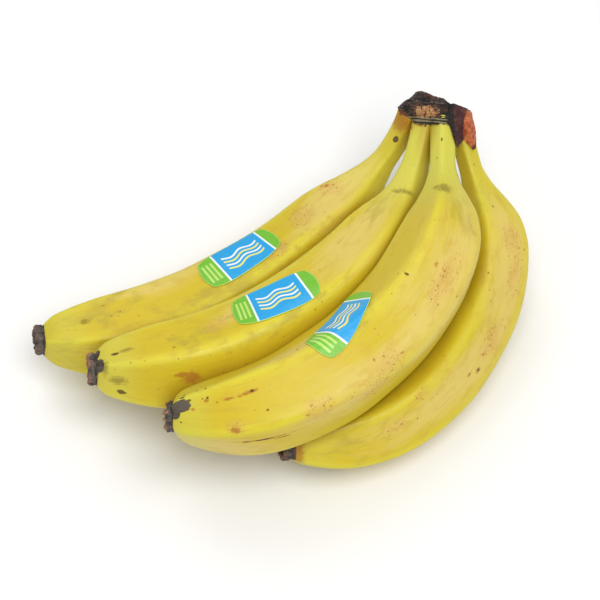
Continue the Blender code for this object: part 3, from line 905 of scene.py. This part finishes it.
def grow_blossom(number, name, look):
    """The knobbly remains of the flower on a fruit's end."""
    fruit = GROVE[name]
    knobs, paleness = BLOSSOMS[number - 1]
    centre, way, face, hollow = (part[0] for part in fruit.frame_at(np.array([fruit.end])))
    size = fruit.radius_at(np.array([fruit.end]))[0] / (5.8 * MM)
    chance = np.random.default_rng(number + 40)
    turns = chance.uniform(0, 2 * pi, 4)

    def place(row, around):
        wind = around + 0.35 * np.sin(2 * around + turns[1]) + 0.2 * np.sin(3 * around + turns[2])
        lobe = np.abs(np.cos(knobs * wind / 2 + turns[0])) ** 0.7 * 1.6 - 0.9
        lobe = lobe * (0.75 + 0.25 * np.cos(around + turns[3]))
        full = np.sin(pi * np.clip(row / 0.8, 0.0, 1.0)) ** 0.7
        radius = smooth_values(BLOSSOM_RADIUS, row) * size * (1 + look.knobs * full * lobe)
        far = smooth_values(BLOSSOM_REACH, row)
        far = far + 1.1 * smooth_step(0.25, 0.5, row) * smooth_step(0.85, 0.65, row) * lobe
        out = face * np.cos(around)[:, None] + hollow * np.sin(around)[:, None]
        points = way * far[:, None] + out * radius[:, None]
        crumple = rough(points, 0.7, number) * 0.55 + rough(points, 1.8, number + 9) * 0.3
        points = points + out * (crumple * full)[:, None] + way * (crumple * full * 0.6)[:, None]
        rim = smooth_step(0.35, 0.55, row) * smooth_step(0.8, 0.62, row)
        return centre + points * MM, {"knobs": (lobe * full, rim, row)}

    shape = rolled_grid(look.sides, look.rings, place)
    piece = "blossom_husk_%d" % number
    husk = blossom_material(piece, look, paleness)
    add_piece(piece, shape, husk, "blossom_tip_%d" % number)


def label_material(look):
    """Thin printed film: a blue field with plain waves between two green ends."""
    paint = Paint("label_film")
    x, y, edge = paint.parts(paint.attribute("print"))
    wrinkles = paint.noise(paint.place, 260.0, 2.0)
    left, right = FIELD_ENDS
    base = paint.over(
        look.blue,
        (x.step(right - 0.15, right + 0.15), look.green),
        (x.step(left + 0.15, left - 0.15), look.green))
    line = (x - right).size().step(0.55, 0.35) + (x - left).size().step(0.55, 0.35)
    bend = (x * WAVE_BEND).wave() * WAVE_HEIGHT
    inside = (x - WAVE_MIDDLE).size().step(WAVE_RUN, WAVE_RUN - 0.3)
    for offset, ink in WAVES:
        wave = (y + bend + offset).size().step(0.62, 0.42) * inside
        base = paint.mix(wave, base, getattr(look, ink))
    bars = 0.0
    for middle in BARS:
        bars = (x - middle).size().step(0.6, 0.45) + bars
    base = paint.over(
        base,
        (bars * y.size().step(BAR_REACH, BAR_REACH - 0.2), look.lime),
        (line.least(1.0), look.white),
        (edge.step(0.972, 0.980), look.lime))
    return paint.finish(base, 0.30 + wrinkles * 0.12, wrinkles, 0.0003)


def stick_label(name, look):
    """One label, laid on the flat side of its fruit."""
    host, along, degrees, tilt = LABELS[name]
    fruit = GROVE[host]
    seed = HABITS[host][2]
    shape = bmesh.new()
    bmesh.ops.create_grid(shape, x_segments=look.columns, y_segments=look.rows, size=1.0)
    spots = np.array([vert.co for vert in shape.verts])
    u, v = spots[:, 0], spots[:, 1]
    edge = np.maximum(np.abs(u) ** 1.5, np.abs(v) ** 0.9)
    u, v = u * np.sqrt(1 - LABEL_SIDE_ROUND * v ** 2), v * np.sqrt(1 - LABEL_END_ROUND * u ** 4)
    u, v = u * look.length / 2, v * look.width / 2
    lean = radians(tilt)
    shares = along + (u * cos(lean) - v * sin(lean)) / fruit.length
    around = radians(degrees) + (u * sin(lean) + v * cos(lean)) / fruit.radius
    swell = look.unevenness * unevenness(shares, around, seed)
    points = fruit.surface(shares, around, look.lift, (), swell)
    settle(shape, points, {"print": (u / MM, v / MM, edge)})
    bmesh.ops.recalc_face_normals(shape, faces=shape.faces)
    return shape


def stick_labels(look):
    film = label_material(look)
    for name in LABELS:
        piece = add_piece(name + "_film", stick_label(name, look), film, name)
        wall = piece.modifiers.new("Thickness", "SOLIDIFY")
        wall.thickness = look.thickness
        wall.offset = -1.0


def set_stage(look):
    """A plain pale floor, soft light from above and the camera of the picture."""
    scene = bpy.context.scene
    paint = Paint("studio_floor")
    grain = paint.noise(paint.place, 60.0, 3.0)
    floor_paint = paint.finish(paint.mix(grain, look.floor, [c * 0.995 for c in look.floor]), 0.7)
    shape = bmesh.new()
    bmesh.ops.create_grid(shape, x_segments=8, y_segments=8, size=look.floor_size)
    bmesh.ops.translate(shape, verts=shape.verts, vec=(0.0, 0.0, -0.2 * MM))
    mesh = bpy.data.meshes.new("floor")
    shape.to_mesh(mesh)
    shape.free()
    mesh.materials.append(floor_paint)
    floor = bpy.data.objects.new("floor", mesh)
    scene.collection.objects.link(floor)
    floor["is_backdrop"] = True

    world = bpy.data.worlds.new("studio")
    scene.world = world
    world.use_nodes = True
    sky = world.node_tree.nodes["Background"]
    sky.inputs["Color"].default_value = (1.0, 1.0, 1.0, 1.0)
    sky.inputs["Strength"].default_value = look.sky

    aim = Vector(CENTRE_SHIFT) + Vector((0.0, 0.0, look.aim_height))
    for (name, way, width), power in zip(LAMPS, (look.key, look.back)):
        light = bpy.data.lights.new(name, "AREA")
        light.shape = "DISK"
        light.size = width
        light.energy = power
        lamp = bpy.data.objects.new(name, light)
        lamp.location = aim + Vector(way)
        lamp.rotation_euler = (-Vector(way)).to_track_quat("-Z", "Y").to_euler()
        scene.collection.objects.link(lamp)

    lens = bpy.data.cameras.new("camera")
    lens.lens = look.lens
    lens.sensor_width = 36.0
    camera = bpy.data.objects.new("camera", lens)
    camera.location = aim + Vector((0.0, -cos(look.elevation), sin(look.elevation))) * look.distance
    camera.rotation_euler = (pi / 2 - look.elevation, 0.0, 0.0)
    scene.collection.objects.link(camera)
    scene.camera = camera
    scene.view_settings.view_transform = "Standard"
    scene.view_settings.look = "None"


def tint(name, description, red, green, blue):
    return FloatVectorProperty(name=name, description=description, default=colour(red, green, blue),
                               size=3, min=0.0, max=1.0, subtype="COLOR")


def count(name, description, default):
    return IntProperty(name=name, description=description, default=default, min=8, max=600)


def length(name, description, default):
    return FloatProperty(name=name, description=description, default=default, unit="LENGTH",
                         precision=5)


def amount(name, description, default, **kind):
    return FloatProperty(name=name, description=description, default=default, **kind)


class SkinLook(bpy.types.PropertyGroup):
    """Sizes and colours of the skins."""
    sides: count("Sides", "Faces around a fruit", 150)
    rings: count("Rings", "Rings of faces along a fruit", 430)
    unevenness: amount("Unevenness", "Share by which the skin swells", 0.016)
    relief: length("Relief", "Height of the fine streaks", 0.00022)
    roughness: amount("Roughness", "Dullness of the wax", 0.36)
    # How far from a neighbour the painted shade between the fruits reaches.
    gap_shade_reach: length("Gap reach", "How near a neighbour the skin is deeper in colour", 0.008)
    yellow: tint("Yellow", "Ripe skin", 206, 182, 34)
    # Cream is partly paler skin and partly painted sheen.
    cream_and_sheen: tint("Cream", "Paler patches", 218, 194, 104)
    ochre: tint("Ochre", "Deeper mottles and streaks", 196, 164, 44)
    # Yellow of the painted highlight along the ridges, also used for lighter threads.
    yellow_and_ridge_highlight: tint("Ridge yellow", "Along the ridges", 218, 206, 54)
    green: tint("Green", "Towards the neck and the tip", 206, 204, 84)
    olive: tint("Olive", "Greyish green mottles", 164, 150, 56)
    # The colour of the painted shade between the fruits.
    gap_shade_tint: tint("Deep", "Where a neighbour is near", 164, 126, 8)
    tan: tint("Tan", "Rubbed patches", 206, 162, 90)
    speckle: tint("Speckle", "Crowded freckles", 166, 104, 38)
    rust: tint("Rust", "Lone freckles and patches", 164, 92, 28)
    bruise: tint("Bruise", "Brown-green patches", 110, 90, 30)
    fleck: tint("Fleck", "Dark spots", 70, 38, 26)
    dried: tint("Dried", "The very end", 30, 22, 22)
    dried_grey: tint("Dried grey", "Paler parts of the very end", 84, 74, 74)


class CrownLook(bpy.types.PropertyGroup):
    """Sizes and colours of the crown."""
    sides: count("Sides", "Faces around the crown", 260)
    rings: count("Rings", "Rings of faces up the crown", 150)
    ragged: length("Ragged edge", "Unevenness of the lower edge", 0.0005)
    fibres: length("Fibres", "Height of the coarse fibres", 0.00040)
    relief: length("Relief", "Height of the fine grain", 0.0006)
    bark: tint("Bark", "Blackened stalk", 26, 20, 20)
    brown: tint("Brown", "Brown stalk", 96, 52, 36)
    fibre: tint("Fibre", "Dry strands", 106, 98, 88)
    # Strand is the colour of the painted highlights on the grain and in the flesh's cracks.
    strand: tint("Strand", "Palest strands", 206, 184, 154)
    lip: tint("Lip", "Grey-green edge", 148, 138, 102)
    flesh: tint("Flesh", "Cut flesh", 200, 144, 92)
    rot: tint("Rot", "Orange-brown edge", 190, 104, 36)
    maroon: tint("Maroon", "Dark red-brown", 66, 18, 26)
    red: tint("Red", "Red-brown flap", 184, 78, 36)
    orange: tint("Orange", "Palest part of the flap", 220, 128, 72)


class BlossomLook(bpy.types.PropertyGroup):
    """Sizes and colours of the dried flower remains."""
    sides: count("Sides", "Faces around a blossom", 84)
    rings: count("Rings", "Rings of faces along a blossom", 60)
    knobs: amount("Knobs", "Share by which the knobs stand out", 0.16)
    relief: length("Relief", "Height of the grain", 0.0005)
    husk: tint("Husk", "Blackened scales", 44, 38, 36)
    grey: tint("Grey", "Grey scales", 92, 84, 78)
    tan: tint("Tan", "Pale knobs", 158, 108, 74)
    # Highlight is the colour of the painted highlights on the grain of the scales.
    highlight: tint("Highlight", "Worn edges", 196, 170, 148)


class LabelLook(bpy.types.PropertyGroup):
    """Sizes and inks of the labels."""
    length: length("Length", "Along the fruit", 0.041)
    width: length("Width", "Around the fruit", 0.019)
    lift: length("Lift", "Outer face above the skin", 0.0003)
    thickness: length("Thickness", "Film and glue", 0.0002)
    unevenness: amount("Unevenness", "Share by which the skin swells", 0.016)
    columns: count("Columns", "Faces along a label", 90)
    rows: count("Rows", "Faces across a label", 44)
    blue: tint("Blue", "Middle field", 20, 160, 222)
    green: tint("Green", "Ends", 112, 186, 40)
    lime: tint("Lime", "Bars on the green end", 186, 222, 110)
    white: tint("White", "Lines and border", 236, 240, 236)
    pale: tint("Pale yellow", "Every second wave", 238, 228, 110)


class StageLook(bpy.types.PropertyGroup):
    """The floor, the lights and the camera."""
    floor: tint("Floor", "Plain pale floor", 246, 246, 246)
    floor_size: length("Floor size", "From the middle to an edge", 4.0)
    sky: amount("Sky", "Light from all around", 0.55)
    key: amount("Key", "Large lamp near the camera, in watts", 7.0)
    back: amount("Back", "Large lamp above and behind, in watts", 2.5)
    aim_height: length("Aim height", "Height that the camera looks at", 0.030)
    distance: length("Distance", "From the camera to where it looks", 0.900)
    elevation: amount("Elevation", "Height of the camera above the horizon", radians(58),
                      subtype="ANGLE")
    lens: amount("Lens", "Focal length in millimetres", 124.2)


class BUNCH_OT_skins(bpy.types.Operator):
    """Grow the four fruit"""
    bl_idname = "bunch.grow_skins"
    bl_label = "Grow Fruit"

    def execute(self, context):
        for name in GROVE:
            grow_fruit(name, context.scene.bunch_skin)
        return {"FINISHED"}


class BUNCH_OT_crown(bpy.types.Operator):
    """Grow the cut crown around the necks"""
    bl_idname = "bunch.grow_crown"
    bl_label = "Grow Crown"

    def execute(self, context):
        grow_crown(context.scene.bunch_crown)
        return {"FINISHED"}


class BUNCH_OT_blossoms(bpy.types.Operator):
    """Grow the dried flower remains on the four ends"""
    bl_idname = "bunch.grow_blossoms"
    bl_label = "Grow Blossom Ends"

    def execute(self, context):
        for number, name in enumerate(GROVE, start=1):
            grow_blossom(number, name, context.scene.bunch_blossom)
        return {"FINISHED"}


class BUNCH_OT_labels(bpy.types.Operator):
    """Stick the three plain labels on"""
    bl_idname = "bunch.stick_labels"
    bl_label = "Stick Labels"

    def execute(self, context):
        stick_labels(context.scene.bunch_label)
        return {"FINISHED"}


class BUNCH_OT_stage(bpy.types.Operator):
    """Set the floor, the lights and the camera"""
    bl_idname = "bunch.set_stage"
    bl_label = "Set Stage"

    def execute(self, context):
        set_stage(context.scene.bunch_stage)
        return {"FINISHED"}


class BUNCH_PT_panel(bpy.types.Panel):
    """Lists the pieces of the bunch"""
    bl_idname = "BUNCH_PT_panel"
    bl_label = "Bunch of Bananas"
    bl_space_type = "VIEW_3D"
    bl_region_type = "UI"
    bl_category = "Bananas"

    def draw(self, context):
        for operator in OPERATORS:
            self.layout.operator(operator.bl_idname)


OPERATORS = (BUNCH_OT_skins, BUNCH_OT_crown, BUNCH_OT_blossoms, BUNCH_OT_labels, BUNCH_OT_stage)
LOOKS = {"bunch_skin": SkinLook, "bunch_crown": CrownLook, "bunch_blossom": BlossomLook,
         "bunch_label": LabelLook, "bunch_stage": StageLook}


def register():
    for kind in (*LOOKS.values(), *OPERATORS, BUNCH_PT_panel):
        bpy.utils.register_class(kind)
    for name, kind in LOOKS.items():
        setattr(bpy.types.Scene, name, PointerProperty(type=kind))


def unregister():
    for name in LOOKS:
        delattr(bpy.types.Scene, name)
    for kind in (BUNCH_PT_panel, *reversed(OPERATORS), *reversed(LOOKS.values())):
        bpy.utils.unregister_class(kind)


def main():
    register()
    bpy.ops.bunch.grow_skins()
    bpy.ops.bunch.grow_crown()
    bpy.ops.bunch.grow_blossoms()
    bpy.ops.bunch.stick_labels()
    bpy.ops.bunch.set_stage()
    boxes = {"cad": CAD_BOX, "visual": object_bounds()}
    boxes = {name: [list(corner) for corner in box] for name, box in boxes.items()}


if __name__ == "__main__":
    main()
